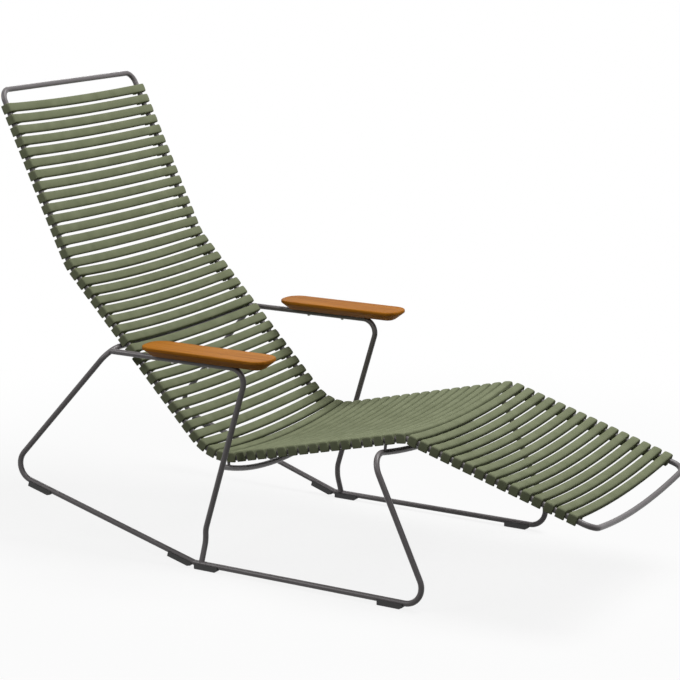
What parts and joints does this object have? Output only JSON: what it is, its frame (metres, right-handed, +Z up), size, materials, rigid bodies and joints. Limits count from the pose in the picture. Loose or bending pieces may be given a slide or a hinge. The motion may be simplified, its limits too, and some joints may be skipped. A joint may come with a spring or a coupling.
{
  "type": "rocking chaise lounge",
  "caption": "Garden chaise lounge that rocks over kinked tube runners, with clip-on sagging plastic slats, bent steel tube frame and wooden armrests.",
  "frame": {"origin": "on the floor, under the middle of the lounge's length and width, as it stands at rest", "axes": "+Z up, +X towards the feet along the length, +Y to the sitter's left, symmetric about y = 0"},
  "size_m": [1.5054, 0.7004, 1.0451],
  "materials": {
    "frame_steel": "satin dark grey powder coat",
    "slat_plastic": "matt olive green moulded plastic",
    "armrest_wood": "oiled orange-brown wood",
    "glide_plastic": "matt black moulded plastic"
  },
  "bodies": {
    "root": {"back_frame": "frame_steel", "front_frame": "frame_steel", "front_hoop": "frame_steel", "rear_hoop": "frame_steel", "lower_bar": "frame_steel", "right_arm_tube": "frame_steel", "left_arm_tube": "frame_steel", "right_armrest": "armrest_wood", "left_armrest": "armrest_wood", "right_top_stub": "frame_steel", "left_top_stub": "frame_steel", "right_lower_stub": "frame_steel", "left_lower_stub": "frame_steel", "right_front_stub": "frame_steel", "left_front_stub": "frame_steel", "right_toe_glide": "glide_plastic", "left_toe_glide": "glide_plastic", "right_front_kink_glide": "glide_plastic", "left_front_kink_glide": "glide_plastic", "right_rear_kink_glide": "glide_plastic", "left_rear_kink_glide": "glide_plastic", "right_heel_glide": "glide_plastic", "left_heel_glide": "glide_plastic", "upper_back_slats": "slat_plastic", "lower_back_slats": "slat_plastic", "seat_slats": "slat_plastic", "leg_rest_slats": "slat_plastic"}
  },
  "joints": []
}
